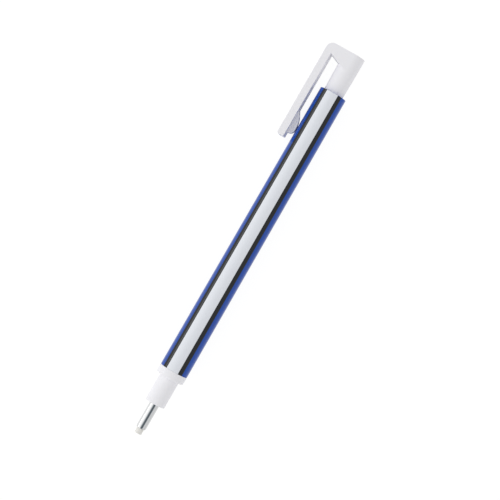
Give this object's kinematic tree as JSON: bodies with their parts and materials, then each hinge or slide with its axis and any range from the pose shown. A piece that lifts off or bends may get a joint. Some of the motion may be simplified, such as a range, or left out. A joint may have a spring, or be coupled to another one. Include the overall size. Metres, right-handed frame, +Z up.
{
  "type": "pencil eraser stick",
  "caption": "Slim push-button eraser holder: a thin eraser core in a metal guide pipe, a striped round barrel, and a knock cap with a one-piece bar clip.",
  "frame": {"origin": "on the pen's axis, at the front face of the nose, where the guide pipe leaves it", "axes": "+X along the pen from the tip to the knock cap, +Z up from the table it lies on, +Y towards the clip, which leans down until its lower edge is at the table"},
  "size_m": [0.1316, 0.0135, 0.009],
  "materials": {
    "barrel_gloss": "glossy, blue with white stripes edged in black",
    "white_plastic": "satin white moulding",
    "pipe_metal": "polished",
    "retainer_rubber": "matte",
    "eraser": "matte off-white vinyl",
    "clutch_brass": "turned",
    "inner_plastic": "satin",
    "spring_steel": "drawn wire"
  },
  "bodies": {
    "barrel": {"barrel": "barrel_gloss", "nose": "white_plastic", "guide_pipe": "pipe_metal", "core_retainer": "retainer_rubber", "clutch_housing": "inner_plastic", "return_spring": "spring_steel"},
    "clutch_ring": {"clutch_ring": "clutch_brass"},
    "mechanism": {"magazine_tube": "inner_plastic", "chuck": "clutch_brass"},
    "knock": {"knock_clip": "white_plastic"},
    "core": {"eraser_core": "eraser"}
  },
  "joints": [
    {"name": "knock_slide", "type": "slide", "parent": "barrel", "child": "mechanism", "axis": [-1, 0, 0], "range_m": [0, 0.004], "stiffness_N_per_m": 400, "springref_m": -0.004, "deforming": ["return_spring"]},
    {"name": "knock_turn", "type": "hinge", "parent": "mechanism", "child": "knock", "pos_m": [0.1, 0, 0], "axis": [1, 0, 0], "continuous": true},
    {"name": "core_feed", "type": "slide", "parent": "barrel", "child": "core", "axis": [-1, 0, 0], "range_m": [-0.0017, 0.058]},
    {"name": "ring_slide", "type": "slide", "parent": "barrel", "child": "clutch_ring", "axis": [-1, 0, 0], "range_m": [0, 0.0012]}
  ],
  "couplings": [
    {"joint": "ring_slide", "follows": "knock_slide", "ratio": 0.3}
  ]
}
